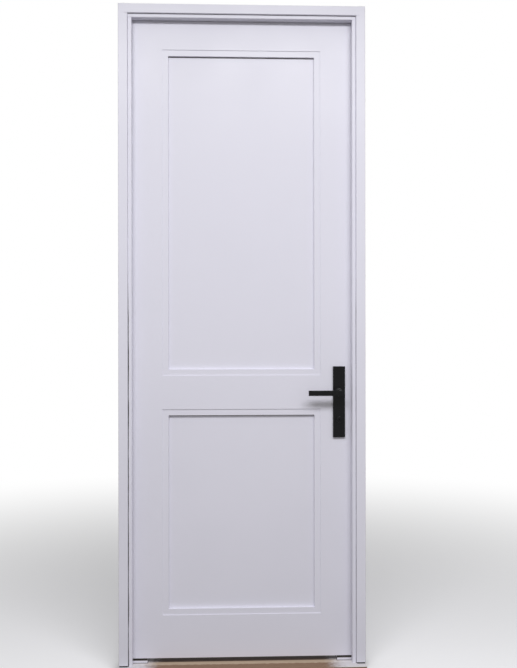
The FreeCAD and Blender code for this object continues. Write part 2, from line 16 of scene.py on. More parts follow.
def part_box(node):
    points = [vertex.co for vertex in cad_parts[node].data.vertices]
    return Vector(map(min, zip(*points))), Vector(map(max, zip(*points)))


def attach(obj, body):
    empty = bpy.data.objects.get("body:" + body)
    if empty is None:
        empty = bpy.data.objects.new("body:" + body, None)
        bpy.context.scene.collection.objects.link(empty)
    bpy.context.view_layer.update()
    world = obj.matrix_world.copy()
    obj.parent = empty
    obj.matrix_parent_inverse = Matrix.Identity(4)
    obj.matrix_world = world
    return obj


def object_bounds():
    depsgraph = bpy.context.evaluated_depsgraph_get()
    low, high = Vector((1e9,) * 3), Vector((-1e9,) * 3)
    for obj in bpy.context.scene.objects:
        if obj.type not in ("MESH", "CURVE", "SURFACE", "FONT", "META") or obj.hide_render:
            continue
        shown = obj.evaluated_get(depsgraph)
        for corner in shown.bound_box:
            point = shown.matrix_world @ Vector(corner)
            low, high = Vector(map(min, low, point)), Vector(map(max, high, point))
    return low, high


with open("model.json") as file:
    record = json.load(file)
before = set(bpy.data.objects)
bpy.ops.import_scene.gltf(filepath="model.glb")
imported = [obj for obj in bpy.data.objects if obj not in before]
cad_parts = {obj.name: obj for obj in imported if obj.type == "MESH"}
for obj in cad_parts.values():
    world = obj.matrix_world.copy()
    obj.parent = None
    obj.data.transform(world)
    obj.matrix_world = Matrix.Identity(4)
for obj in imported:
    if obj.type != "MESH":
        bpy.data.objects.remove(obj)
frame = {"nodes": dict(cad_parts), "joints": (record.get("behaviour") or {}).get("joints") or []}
cad_low, cad_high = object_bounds()
print("size in metres:", [round(side, 4) for side in cad_high - cad_low])

# %% [markdown]
# The camera comes first, since everything else is judged through it. It could be set by eye, but then
# the edges would never lie quite right, so its place was worked out from the picture's straight edges:
# how fast the frame narrows, where its sides and its top lie, and how far the leaf is set back. It
# stands about three metres in front at chest height, a little left of the middle, and turned slightly to
# the right. Its sensor width is the long side of the picture, so a focal length in pixels becomes
# millimetres through the picture's height.

# %% Camera
PICTURE_HEIGHT = 668
SENSOR_LONG_SIDE = 36.0
FOCAL_PIXELS = 808.5
CAMERA_PLACE = Vector((-0.0534, -3.0945, 1.2697))
CAMERA_TURN = radians(2.132)
CAMERA_TILT = radians(-0.007)
CAMERA_ROLL = radians(-0.069)
NEAREST_SEEN, FARTHEST_SEEN = 0.05, 60

camera_data = bpy.data.cameras.new("front_camera")
camera_data.sensor_width = SENSOR_LONG_SIDE
camera_data.lens = FOCAL_PIXELS * SENSOR_LONG_SIDE / PICTURE_HEIGHT
camera_data.clip_start, camera_data.clip_end = NEAREST_SEEN, FARTHEST_SEEN
camera = bpy.data.objects.new("front_camera", camera_data)
camera.matrix_world = (
    Matrix.Translation(CAMERA_PLACE)
    @ Matrix.Rotation(-CAMERA_TURN, 4, "Z")
    @ Matrix.Rotation(pi / 2 + CAMERA_TILT, 4, "X")
    @ Matrix.Rotation(CAMERA_ROLL, 4, "Z")
)
scene = bpy.context.scene
scene.collection.objects.link(camera)
scene.camera = camera
scene.view_settings.view_transform = "Standard"
print("lens in mm:", round(camera_data.lens, 2))

# %% [markdown]
# The colours of paint, timber and metal are judged on a screen, so they are written as the hex values
# that a picture editor shows. Blender works out light with linear values, in which middle grey is only
# about a fifth of white. Each colour could be converted by hand, but one function does them all alike.

# %% Colours
def colour(text, alpha=1.0):
    """Turn an sRGB hex colour into the linear one that Blender uses."""
    channels = [int(text[start : start + 2], 16) / 255 for start in (1, 3, 5)]
    linear = [c / 12.92 if c <= 0.04045 else ((c + 0.055) / 1.055) ** 2.4 for c in channels]
    return (*linear, alpha)


print("mid grey in linear light:", [round(c, 3) for c in colour("#808080")])

# %% [markdown]
# A finish is a tree of nodes, and so is the rule that places the screws. A tree could be drawn in the
# node editor, but written out it can be read from top to bottom. One small function adds a node, sets
# its options and fills its sockets, by their names or in their order, with plain values or with other
# nodes. A node that is given whole stands for its first output in use, which is nearly always the one
# that is wanted. Some nodes hide the sockets that their options don't need, under the same names, so
# hidden ones are passed over.

# %% Nodes
def fill(tree, node, sockets):
    """Fill a node's sockets with plain values, other nodes, or single outputs of other nodes."""
    wanted = sockets.items() if isinstance(sockets, dict) else enumerate(sockets)
    for key, value in wanted:
        if isinstance(key, str):
            socket = next(one for one in node.inputs if one.enabled and one.name == key)
        else:
            socket = node.inputs[key]
        if isinstance(value, bpy.types.Node):
            value = next(one for one in value.outputs if one.enabled)
        if isinstance(value, bpy.types.NodeSocket):
            tree.links.new(value, socket)
        else:
            socket.default_value = value


def add(tree, kind, sockets=(), **settings):
    """Add a node, set its options and fill its sockets."""
    node = tree.nodes.new(kind)
    for name, value in settings.items():
        setattr(node, name, value)
    fill(tree, node, sockets)
    return node


def new_material(name):
    """A material with nothing in its tree but an output and one Principled shader."""
    material = bpy.data.materials.new(name)
    material.use_nodes = True
    tree = material.node_tree
    tree.nodes.clear()
    shader = add(tree, "ShaderNodeBsdfPrincipled")
    output = add(tree, "ShaderNodeOutputMaterial", {"Surface": shader})
    return material, tree, shader, output


print("helpers:", [helper.__name__ for helper in (fill, add, new_material)])

# %% [markdown]
# The door stands before plain white. Brighter lamps would turn the background white too, but they would
# bleach the paint as well. Light Path tells a material what each ray of light is for, so a surface can
# show the camera one thing, and metal and glass too, while the light that it throws on the door stays
# as it was. This switch asks for the three kinds of ray that look at a surface.

# %% A switch for what the camera and the reflections see
def seen_directly(tree):
    """1 where the camera, a reflection or a transmission looks, and 0 for light that bounces."""
    rays = add(tree, "ShaderNodeLightPath").outputs
    seen = rays["Is Camera Ray"]
    for kind in ("Is Glossy Ray", "Is Transmission Ray"):
        seen = add(tree, "ShaderNodeMath", (seen, rays[kind]), operation="MAXIMUM")
    return seen


print("the switch joins three kinds of ray")

# %% [markdown]
# The floor catches the door's shadow, and so makes the door stand on something. A square would do, but
# its corners lie nearer in some views than in others, so it is a wide disc, the same from every side.

# %% Floor
FLOOR_RADIUS = 9.0
FLOOR_CORNERS = 96

floor_mesh = bpy.data.meshes.new("floor")
rim = [
    Matrix.Rotation(2 * pi * step / FLOOR_CORNERS, 3, "Z") @ Vector((FLOOR_RADIUS, 0, 0))
    for step in range(FLOOR_CORNERS)
]
floor_mesh.from_pydata(rim, [], [range(FLOOR_CORNERS)])
floor = bpy.data.objects.new("floor", floor_mesh)
scene.collection.objects.link(floor)
print("floor radius in metres:", FLOOR_RADIUS)

# %% [markdown]
# The floor's finish is studio paper: pale, matt and without any shine. Near the door it is an ordinary
# surface, and towards its rim it turns into plain white, so no horizon line shows behind the door. Pale
# paper also throws light back up, and that would fill the shadows under the head and under the leaf.
# Rooms seldom have white floors, so bounced light meets a darker colour than the camera does. Two sets
# of options first needed here come back all through the script: a mix of two colours, and a smooth ramp
# from one value to another.

# %% Studio paper
MIX = {"data_type": "RGBA"}
SMOOTH = {"interpolation_type": "SMOOTHSTEP"}
FLOOR_PLAIN_FROM, FLOOR_WHITE_FROM = 0.9, 4.5
PAPER_SEEN, PAPER_BOUNCE = colour("#F6F6F7"), colour("#6F6A66")
PAPER_ROUGHNESS = 0.9
WHITE_LIGHT = (1, 1, 1, 1)

floor_paper, tree, shader, output = new_material("pale_studio_paper")
seen = seen_directly(tree)
paper = add(tree, "ShaderNodeMix", {"Factor": seen, "A": PAPER_BOUNCE, "B": PAPER_SEEN}, **MIX)
fill(tree, shader, {"Base Color": paper, "Roughness": PAPER_ROUGHNESS, "Specular IOR Level": 0.0})
spot = add(tree, "ShaderNodeTexCoord").outputs["Object"]
from_middle = add(tree, "ShaderNodeVectorMath", (spot,), operation="LENGTH")
reach = (from_middle, FLOOR_PLAIN_FROM, FLOOR_WHITE_FROM, 0.0, 1.0)
far_away = add(tree, "ShaderNodeMapRange", reach, **SMOOTH)
white_part = add(tree, "ShaderNodeMath", (far_away, seen), operation="MULTIPLY")
plain_white = add(tree, "ShaderNodeEmission", {"Color": WHITE_LIGHT, "Strength": 1.0})
floor_shade = add(tree, "ShaderNodeMixShader", (white_part, shader, plain_white))
fill(tree, output, {"Surface": floor_shade})
floor_mesh.materials.append(floor_paper)
print("plain white from", FLOOR_WHITE_FROM, "m on")

# %% [markdown]
# Light from all around keeps a room's shadows from going black. A picture of a real room could be wrapped
# round the door, but it would tint the paint, so one even, neutral tone does it, weaker than the lamp.
# Wherever the camera or a reflection looks at this world, it is plain white.

# %% World
SKY_LIGHT = 0.5

world = bpy.data.worlds.new("studio_world")
scene.world = world
world.use_nodes = True
tree = world.node_tree
tree.nodes.clear()
soft_light = add(tree, "ShaderNodeBackground", {"Color": WHITE_LIGHT, "Strength": SKY_LIGHT})
white_view = add(tree, "ShaderNodeBackground", {"Color": WHITE_LIGHT, "Strength": 1.0})
sky = add(tree, "ShaderNodeMixShader", (seen_directly(tree), soft_light, white_view))
add(tree, "ShaderNodeOutputWorld", {"Surface": sky})
print("light from all around:", SKY_LIGHT)

# %% [markdown]
# The shadows say where the light is. Under the lever they fall almost as far down as the lever stands
# out, but under the head they are short: the lamp is about as far above the lever as it is in front of
# the door, and only a little higher than the head. A bulb or a sun would also draw a hard shadow beside
# every upright ledge, and there is hardly any, while the level ledges draw dark lines. That is a long
# ceiling lamp, about two metres in front of the door, so it is made as a long rectangle of light.

# %% Lamp
LAMP_PLACE = Vector((0.25, -2.25, 3.12))
LAMP_LENGTH, LAMP_DEPTH = 3.0, 0.9
LAMP_TILT = radians(2)
LAMP_WATTS = 96.0
LAMP_COLOUR = colour("#FBFBFF")[:3]

lamp_data = bpy.data.lights.new("ceiling_lamp", "AREA")
lamp_data.shape = "RECTANGLE"
lamp_data.size, lamp_data.size_y = LAMP_LENGTH, LAMP_DEPTH
lamp_data.energy = LAMP_WATTS
lamp_data.color = LAMP_COLOUR
lamp = bpy.data.objects.new("ceiling_lamp", lamp_data)
lamp.matrix_world = Matrix.Translation(LAMP_PLACE) @ Matrix.Rotation(LAMP_TILT, 4, "X")
lamp.visible_camera = False
scene.collection.objects.link(lamp)
print("lamp above the floor in metres:", round(LAMP_PLACE.z, 2))

# %% [markdown]
# The stops are strips that are fixed to the jambs and painted over. Where a stop has parted from its
# jamb a dark joint shows, wider near the floor and on the hinge side. It could be a real gap, but it is
# far narrower than a pixel, and the physics model has no use for it. So the stop's paint is darkened
# along its outer edge, in a strip that is partly that joint and partly painted shade: it is drawn wider
# than the real crack, so that it also carries the shade in the corner between stop and jamb. At the head
# there is only a hairline, and it is a painted shadow under the head jamb's edge. Slow noise makes the
# strip's width wobble, as a crack's does.

# %% Open joints and painted corner shade beside the stops
OPENING_HALF_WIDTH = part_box("lock_jamb")[0].x
OPENING_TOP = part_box("head_jamb")[0].z
JOINT_OPENS_BELOW, JOINT_OPENS_OVER = 1.3, 0.25
HAIRLINE_WIDTH, JOINT_WIDTH, HEAD_JOINT_SHADOW_WIDTH = 0.0004, 0.0045, 0.0016
JOINT_SHARE_HINGE_SIDE, JOINT_SHARE_LOCK_SIDE = 1.25, 0.5
SIDES_MEET_WITHIN = 0.1
WOBBLES_PER_METRE = 9.0
# Colour of the parted joints, and of the painted shade and shadow along them.
JOINT_AND_SHADE_DARK = colour("#2B2726")


def joint_and_corner_shade(tree, spot, paint):
    """Darken a stop's outer front edge: a parted joint with painted corner shade, and painted shadow at the
    head.
    """
    axes = add(tree, "ShaderNodeSeparateXYZ", (spot,)).outputs
    out = add(tree, "ShaderNodeMath", (axes["X"],), operation="ABSOLUTE")
    wobble = add(tree, "ShaderNodeTexNoise", {"Vector": spot, "Scale": WOBBLES_PER_METRE, "Detail": 3.0})
    opens = (axes["Z"], JOINT_OPENS_BELOW + JOINT_OPENS_OVER, JOINT_OPENS_BELOW, HAIRLINE_WIDTH, JOINT_WIDTH)
    width = add(tree, "ShaderNodeMapRange", opens, **SMOOTH)
    width = add(tree, "ShaderNodeMath", (width, wobble), operation="MULTIPLY")
    sides = (axes["X"], -SIDES_MEET_WITHIN, SIDES_MEET_WITHIN, JOINT_SHARE_HINGE_SIDE, JOINT_SHARE_LOCK_SIDE)
    share = add(tree, "ShaderNodeMapRange", sides, **SMOOTH)
    width = add(tree, "ShaderNodeMath", (width, share), operation="MULTIPLY")
    # Beside the stops: the joint, widened by painted shade in the corner.
    edge = add(tree, "ShaderNodeMath", (OPENING_HALF_WIDTH, width), operation="SUBTRACT")
    beside = add(tree, "ShaderNodeMath", (out, edge), operation="GREATER_THAN")
    # Along the head stop's top: a painted shadow under the head jamb's edge.
    top_edge = OPENING_TOP - HEAD_JOINT_SHADOW_WIDTH
    above = add(tree, "ShaderNodeMath", (axes["Z"], top_edge), operation="GREATER_THAN")
    dark = add(tree, "ShaderNodeMath", (beside, above), operation="MAXIMUM")
    return add(tree, "ShaderNodeMix", {"Factor": dark, "A": paint, "B": JOINT_AND_SHADE_DARK}, **MIX)


print("joints open below", JOINT_OPENS_BELOW, "m")

# %% [markdown]
# Along the top of each panel the rail's ledge stands out over it, and its shadow falls there as a grey
# line. The ledge's own shadow came out too weak to draw it, so the panel's paint holds a painted shadow: a
# band up against the ledge, drawn a little wider than real so that it fills most of a pixel.

# %% Painted shadow under the ledges
LEDGE_EDGES = [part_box(rail)[0].z for rail in ("top_rail", "mid_rail")]
LEDGE_SHADOW_HEIGHT = 0.0034
# Colour of the painted shadow under each ledge.
LEDGE_SHADOW_GREY = colour("#5E5A5C")


def shadow_under_ledges(tree, spot, paint):
    """Paint a hairline of shadow along the top of each panel, under its ledge."""
    level = add(tree, "ShaderNodeSeparateXYZ", (spot,)).outputs["Z"]
    half = LEDGE_SHADOW_HEIGHT / 2
    for edge in LEDGE_EDGES:
        near = add(tree, "ShaderNodeMath", (level, edge - half, half), operation="COMPARE")
        paint = add(tree, "ShaderNodeMix", {"Factor": near, "A": paint, "B": LEDGE_SHADOW_GREY}, **MIX)
    return paint


print("ledges end at", [round(edge, 3) for edge in LEDGE_EDGES], "m")

# %% [markdown]
# The faces that go against the wall never get a top coat. They are only primed, so they are duller and
# lack the top coat's bluish tint. They could get a second material, face by face, but their place is
# enough to tell them apart, so the same paint looks up where it is: in the outermost skin of the sides
# and of the top.

# %% Primed outer faces
PRIMED_SKIN = 0.0006
PRIMED_BEYOND_X, PRIMED_ABOVE = cad_high.x - PRIMED_SKIN, cad_high.z - PRIMED_SKIN


def only_primed(tree, spot):
    """1 on the frame's outer sides and top, and 0 elsewhere."""
    axes = add(tree, "ShaderNodeSeparateXYZ", (spot,)).outputs
    out = add(tree, "ShaderNodeMath", (axes["X"],), operation="ABSOLUTE")
    side = add(tree, "ShaderNodeMath", (out, PRIMED_BEYOND_X), operation="GREATER_THAN")
    top = add(tree, "ShaderNodeMath", (axes["Z"], PRIMED_ABOVE), operation="GREATER_THAN")
    return add(tree, "ShaderNodeMath", (side, top), operation="MAXIMUM")


print("primed beyond", round(PRIMED_BEYOND_X, 4), "m and above", round(PRIMED_ABOVE, 4), "m")

# %% [markdown]
# Planed softwood is never as flat as board: wet paint makes its fibres swell, and they stand up in fine
# lines along each bar. Real relief would take millions of faces, so a bump tilts the light instead. The
# lines are noise that is stretched along the bar: 2.5 mm from line to line, about the spacing of the
# grain on a planed face, and a quarter of a metre long.

# %% Raised grain
GRAIN_WIDTH, GRAIN_LENGTH = 0.0025, 0.25
GRAIN_STRENGTH, GRAIN_DEPTH = 0.3, 0.0005


def raised_grain(tree, spot, axis, normal):
    """Timber fibres that stand up under the paint, stretched along one axis."""
    stretch = [1 / GRAIN_WIDTH] * 3
    stretch[axis] = 1 / GRAIN_LENGTH
    fibres = add(tree, "ShaderNodeMapping", {"Vector": spot, "Scale": stretch})
    grain = {"Vector": fibres, "Scale": 1.0, "Detail": 3.0, "Distortion": 0.3}
    grain = add(tree, "ShaderNodeTexNoise", grain)
    relief = {"Height": grain, "Strength": GRAIN_STRENGTH, "Distance": GRAIN_DEPTH, "Normal": normal}
    return add(tree, "ShaderNodeBump", relief)


print("grain lines", GRAIN_WIDTH * 1000, "mm apart and", GRAIN_LENGTH * 1000, "mm long")

# %% [markdown]
# The door is spray painted in a satin white. Sprayed paint is never quite flat: it dries with an
# orange-peel texture, here four millimetres from bump to bump, and its gloss and its white drift slowly
# across a large face. One plain colour would look like plastic, and a painted picture would repeat, so
# noise in real sizes makes both. It gives the eye soft, broad highlights on faces that are nearly even,
# and edges that stay crisp. One function makes the paint for every piece, with its marks as options.

# %% Sprayed paint
WHITE, DUSTY_WHITE, PRIMER = colour("#E4E3ED"), colour("#DAD9E3"), colour("#DAD9D8")
PAINT_IOR = 1.5
CLOUD_WIDTH = 0.45
DUST_STARTS, DUST_FULL, MOST_DUST = 0.3, 0.8, 0.3
CLOUD_LOW, CLOUD_HIGH = 0.25, 0.75
SMOOTHEST_PAINT, ROUGHEST_PAINT, PRIMER_ROUGHER_BY = 0.29, 0.39, 0.35
PEEL_WIDTH, PEEL_STRENGTH, PEEL_DEPTH = 0.004, 0.25, 0.0003


def sprayed_paint(name, grain_axis=None, joint_shaded=False, primed=False, ledge_shadowed=False):
    """Satin white paint, with the marks of the piece that it is on."""
    material, tree, shader, _ = new_material(name)
    spot = add(tree, "ShaderNodeTexCoord").outputs["Object"]
    clouds = add(tree, "ShaderNodeTexNoise", {"Vector": spot, "Scale": 1 / CLOUD_WIDTH, "Detail": 3.0})
    dust = add(tree, "ShaderNodeMapRange", (clouds, DUST_STARTS, DUST_FULL, 0.0, MOST_DUST), **SMOOTH)
    paint = add(tree, "ShaderNodeMix", {"Factor": dust, "A": WHITE, "B": DUSTY_WHITE}, **MIX)
    drift = (clouds, CLOUD_LOW, CLOUD_HIGH, SMOOTHEST_PAINT, ROUGHEST_PAINT)
    roughness = add(tree, "ShaderNodeMapRange", drift, **SMOOTH)
    # The stops: a dark joint with painted shade and shadow along it.
    if joint_shaded:
        paint = joint_and_corner_shade(tree, spot, paint)
    # The panels: a painted shadow under the rails' ledges.
    if ledge_shadowed:
        paint = shadow_under_ledges(tree, spot, paint)
    if primed:
        primer = only_primed(tree, spot)
        paint = add(tree, "ShaderNodeMix", {"Factor": primer, "A": paint, "B": PRIMER}, **MIX)
        rougher = (primer, PRIMER_ROUGHER_BY, roughness)
        roughness = add(tree, "ShaderNodeMath", rougher, operation="MULTIPLY_ADD")
    peel = add(tree, "ShaderNodeTexNoise", {"Vector": spot, "Scale": 1 / PEEL_WIDTH, "Detail": 1.0})
    bump = add(tree, "ShaderNodeBump", {"Height": peel, "Strength": PEEL_STRENGTH, "Distance": PEEL_DEPTH})
    if grain_axis is not None:
        bump = raised_grain(tree, spot, grain_axis, bump)
    fill(tree, shader, {"Base Color": paint, "Roughness": roughness, "IOR": PAINT_IOR, "Normal": bump})
    return material


print("orange peel every", PEEL_WIDTH * 1000, "mm")

# %% [markdown]
# Each piece gets the paint that suits its timber: grain upright on the jambs and the side stops, level on
# the head, and none on the leaf, which is smooth board. One paint for all of them would be less work,
# but its grain would run across half of the bars.

# %% Paint the frame and the leaf
ALONG_X, ALONG_Z = 0, 2


def put_on(material, *names):
    """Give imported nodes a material."""
    for name in names:
        slots = frame["nodes"][name].data.materials
        slots.clear()
        slots.append(material)


leaf_paint = sprayed_paint("satin_white_on_smooth_board")
leg_paint = sprayed_paint("satin_white_on_upright_timber", ALONG_Z, primed=True)
# The stops' paint carries a dark joint with painted shade and shadow along its edge.
stop_paint = sprayed_paint("satin_white_on_upright_stops", ALONG_Z, joint_shaded=True)
head_stop_paint = sprayed_paint("satin_white_on_level_stop", ALONG_X, joint_shaded=True)
# The panels' paint holds the painted shadow under the ledges.
panel_paint = sprayed_paint("satin_white_on_panels", ledge_shadowed=True)
head_paint = sprayed_paint("satin_white_on_level_timber", ALONG_X, primed=True)

put_on(leaf_paint, "hinge_stile", "lock_stile", "top_rail", "mid_rail", "bottom_rail")
put_on(panel_paint, "upper_panel", "lower_panel")
put_on(leg_paint, "hinge_jamb", "lock_jamb")
put_on(stop_paint, "hinge_stop", "lock_stop")
put_on(head_stop_paint, "head_stop")
put_on(head_paint, "head_jamb")
print("painted nodes:", sum(1 for o in frame["nodes"].values() if "white" in o.data.materials[0].name))

# %% [markdown]
# Two small blocks fill the bottom corners of the frame. They are sprayed white, but their tops lie close
# under the leaf, in its shade. The slit above each block could be left to its shadow, but white paint in
# there throws light about, and the slit came out pale. So the top skin is darkened as painted shade, and
# from the front the slit is a dark line, as on the real door. The darkened skin is also rough, so it gives
# the eye no shine.

# %% Foot blocks
BLOCK_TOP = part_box("lock_foot_block")[1].z
SHADED_SKIN_STARTS, SHADED_SKIN_FULL = 0.0006, 0.0001
# Colour of the painted shade on the blocks' tops.
BLOCK_TOP_SHADE = colour("#544C48")
PAINTED_ROUGHNESS, SHADED_TOP_ROUGHNESS = 0.35, 0.85
GRIT_STRENGTH, GRIT_DEPTH = 0.3, 0.0004

foot_paint, tree, shader, _ = new_material("satin_white_on_foot_blocks")
spot = add(tree, "ShaderNodeTexCoord").outputs["Object"]
level = add(tree, "ShaderNodeSeparateXYZ", (spot,)).outputs["Z"]
skin = (level, BLOCK_TOP - SHADED_SKIN_STARTS, BLOCK_TOP - SHADED_SKIN_FULL, 0.0, 1.0)
# Painted shade on the blocks' top skin, under the leaf.
shaded_top = add(tree, "ShaderNodeMapRange", skin, **SMOOTH)
paint = add(tree, "ShaderNodeMix", {"Factor": shaded_top, "A": WHITE, "B": BLOCK_TOP_SHADE}, **MIX)
duller = (shaded_top, 0.0, 1.0, PAINTED_ROUGHNESS, SHADED_TOP_ROUGHNESS)
roughness = add(tree, "ShaderNodeMapRange", duller, **SMOOTH)
grit = add(tree, "ShaderNodeTexNoise", {"Vector": spot, "Scale": 1 / GRAIN_WIDTH, "Detail": 3.0})
bump = add(tree, "ShaderNodeBump", {"Height": grit, "Strength": GRIT_STRENGTH, "Distance": GRIT_DEPTH})
fill(tree, shader, {"Base Color": paint, "Roughness": roughness, "Normal": bump})
put_on(foot_paint, "hinge_foot_block", "lock_foot_block")
print("foot blocks end at", round(BLOCK_TOP * 1000, 1), "mm")

# %% [markdown]
# The threshold board is raw sawn softwood that has yellowed to a warm brown. Stripes on each face would
# be easy, but they wouldn't meet at the edges. Real growth rings are long cylinders round the middle of
# the tree, so the pattern is built the same way: rings five millimetres apart round a line that runs
# along the board, a little below it. The top then shows long stripes and the ends show arcs, and they
# meet. Short fibres lie over the rings. Real ones are a tenth of a millimetre thick, and they are drawn
# twelve times as coarse so that they show. Together they give the eye a dry, stripy brown.

# %% The board's timber
RING_SPACING = 0.005
WAVE_RINGS_PER_UNIT = 20 / (2 * pi)
HEART_PLACE, HEART_STRETCH = (0, -0.03, 0.04), (0.15, 1, 1)
WANDERS_PER_METRE, WANDER = 3.0, (0.05, 0.05, 0.05)
FIBRE_WIDTH, FIBRE_LENGTH = 0.0012, 0.05
FIBRES_START, FIBRES_FULL, MOST_FIBRE = 0.35, 0.7, 0.5
EARLY_WOOD, LATE_WOOD, FIBRE = colour("#8E735B"), colour("#6B503B"), colour("#7F6551")

board_timber, tree, shader, _ = new_material("bare_softwood_with_stray_paint")
spot = add(tree, "ShaderNodeTexCoord").outputs["Object"]
wander = add(tree, "ShaderNodeTexNoise", {"Vector": spot, "Scale": WANDERS_PER_METRE, "Detail": 2.0})
shift = (wander.outputs["Color"], WANDER, spot)
bent = add(tree, "ShaderNodeVectorMath", shift, operation="MULTIPLY_ADD")
heart = add(tree, "ShaderNodeMapping", {"Vector": bent, "Location": HEART_PLACE, "Scale": HEART_STRETCH})
ring_sockets = {
    "Vector": heart,
    "Scale": 1 / (RING_SPACING * WAVE_RINGS_PER_UNIT),
    "Distortion": 0.6,
    "Detail": 1.0,
    "Detail Scale": 0.5,
}
ring_options = {"wave_type": "RINGS", "rings_direction": "X", "wave_profile": "SAW"}
rings = add(tree, "ShaderNodeTexWave", ring_sockets, **ring_options).outputs["Fac"]
fibre_stretch = (1 / FIBRE_LENGTH, 1 / FIBRE_WIDTH, 1 / FIBRE_WIDTH)
fibre_spot = add(tree, "ShaderNodeMapping", {"Vector": spot, "Scale": fibre_stretch})
fibres = add(tree, "ShaderNodeTexNoise", {"Vector": fibre_spot, "Scale": 1.0, "Detail": 2.0})
fibre_part = add(tree, "ShaderNodeMapRange", (fibres, FIBRES_START, FIBRES_FULL, 0.0, MOST_FIBRE), **SMOOTH)
timber = add(tree, "ShaderNodeMix", {"Factor": rings, "A": EARLY_WOOD, "B": LATE_WOOD}, **MIX)
timber = add(tree, "ShaderNodeMix", {"Factor": fibre_part, "A": timber, "B": FIBRE}, **MIX)
print("growth rings every", RING_SPACING * 1000, "mm")

# %% [markdown]
# The spray gun also went over the board near the jambs, where a pale mist of white covers the grain. Mist
# has no thickness, so it is no piece of its own but a second colour that fades in towards the board's
# ends, on its top only. Specks of a few millimetres fray its edge.

# %% Stray paint on the board
SPECKS_PER_METRE = 70.0
MIST_FRAY, MIST_STARTS, MIST_FULL, MIST_COVER = 0.06, 0.335, 0.425, 0.85
BOARD_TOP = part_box("threshold_board")[1].z
TOP_SKIN_STARTS, TOP_SKIN_FULL = 0.003, 0.0005
MIST = colour("#DAD8DC")

axes = add(tree, "ShaderNodeSeparateXYZ", (spot,)).outputs
out = add(tree, "ShaderNodeMath", (axes["X"],), operation="ABSOLUTE")
specks = add(tree, "ShaderNodeTexNoise", {"Vector": spot, "Scale": SPECKS_PER_METRE, "Detail": 4.0})
frayed_out = add(tree, "ShaderNodeMath", (specks, MIST_FRAY, out), operation="MULTIPLY_ADD")
mist = add(tree, "ShaderNodeMapRange", (frayed_out, MIST_STARTS, MIST_FULL, 0.0, MIST_COVER), **SMOOTH)
top_skin = (axes["Z"], BOARD_TOP - TOP_SKIN_STARTS, BOARD_TOP - TOP_SKIN_FULL, 0.0, 1.0)
on_top = add(tree, "ShaderNodeMapRange", top_skin, **SMOOTH)
mist = add(tree, "ShaderNodeMath", (mist, on_top), operation="MULTIPLY")
print("mist from", MIST_STARTS, "m out, on a board top at", round(BOARD_TOP * 1000, 1), "mm")

# %% [markdown]
# In front of the leaf runs a paler, beige strip with a frayed front edge, and below the leaf the wood
# is darkened as painted shade, because little light gets under the leaf. Both follow the leaf's front
# face, so the same line across the board ends the one and starts the other. The finishes are laid on in
# this order: the strip, the painted shade, and the mist over them.

# %% The strip and the painted shade along the leaf
STRIP_FRAY, STRIP_STARTS, STRIP_FULL, STRIP_COVER = 0.012, -0.024, -0.018, 0.8
LEAF_LINE_FRONT, LEAF_LINE_BACK, SHADE_COVER = -0.001, 0.003, 0.85
# The strip's beige, and the brown of the painted shade under the leaf and along the blocks.
STRIP, SHADE_BROWN = colour("#B9A68F"), colour("#3A2C27")

frayed_depth = add(tree, "ShaderNodeMath", (specks, STRIP_FRAY, axes["Y"]), operation="MULTIPLY_ADD")
strip_ramp = (frayed_depth, STRIP_STARTS, STRIP_FULL, 0.0, STRIP_COVER)
strip = add(tree, "ShaderNodeMapRange", strip_ramp, **SMOOTH)
leaf_line = (axes["Y"], LEAF_LINE_FRONT, LEAF_LINE_BACK)
before_leaf = add(tree, "ShaderNodeMapRange", (*leaf_line, 1.0, 0.0), **SMOOTH)
strip = add(tree, "ShaderNodeMath", (strip, before_leaf), operation="MULTIPLY")
# Painted shade on the board under the leaf.
shade_under_leaf = add(tree, "ShaderNodeMapRange", (*leaf_line, 0.0, SHADE_COVER), **SMOOTH)
for part, finish in ((strip, STRIP), (shade_under_leaf, SHADE_BROWN), (mist, MIST)):
    timber = add(tree, "ShaderNodeMix", {"Factor": part, "A": timber, "B": finish}, **MIX)
# Where the painted shade under the leaf starts.
print("dirt starts", LEAF_LINE_FRONT * 1000, "mm from the leaf's front face")

# %% [markdown]
# A painted shade darkens the seam along the front of each foot block as well, where it meets the board.
# It lies over everything else, so it comes last. Then the board gets its skin: raw wood is dull, and its
# fibres stand up and catch the light.
# The fibres that coloured the wood also raise it, because on real wood they are the same ones.

# %% The painted shade along the foot blocks, and the board's skin
BLOCK_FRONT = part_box("lock_foot_block")[0].y
BLOCK_INNER_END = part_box("lock_foot_block")[0].x
SEAM_STARTS, SEAM_FULL, SEAM_END = 0.0055, 0.003, 0.004
TIMBER_ROUGHNESS, TIMBER_IOR = 0.75, 1.5
FIBRE_STRENGTH, FIBRE_DEPTH = 0.5, 0.0006

seam_front = (axes["Y"], BLOCK_FRONT - SEAM_STARTS, BLOCK_FRONT - SEAM_FULL, 0.0, 1.0)
seam_front = add(tree, "ShaderNodeMapRange", seam_front, **SMOOTH)
seam_side = (out, BLOCK_INNER_END - SEAM_END, BLOCK_INNER_END, 0.0, 1.0)
seam_side = add(tree, "ShaderNodeMapRange", seam_side, **SMOOTH)
# Painted contact shade where each block's front meets the board.
seam = add(tree, "ShaderNodeMath", (seam_front, seam_side), operation="MULTIPLY")
timber = add(tree, "ShaderNodeMix", {"Factor": seam, "A": timber, "B": SHADE_BROWN}, **MIX)
bump = add(tree, "ShaderNodeBump", {"Height": fibres, "Strength": FIBRE_STRENGTH, "Distance": FIBRE_DEPTH})
skin = {"Base Color": timber, "Roughness": TIMBER_ROUGHNESS, "IOR": TIMBER_IOR, "Normal": bump}
fill(tree, shader, skin)
put_on(board_timber, "threshold_board")
print("fibres", FIBRE_LENGTH * 1000, "mm long, seam from", round(BLOCK_INNER_END, 4), "m out")

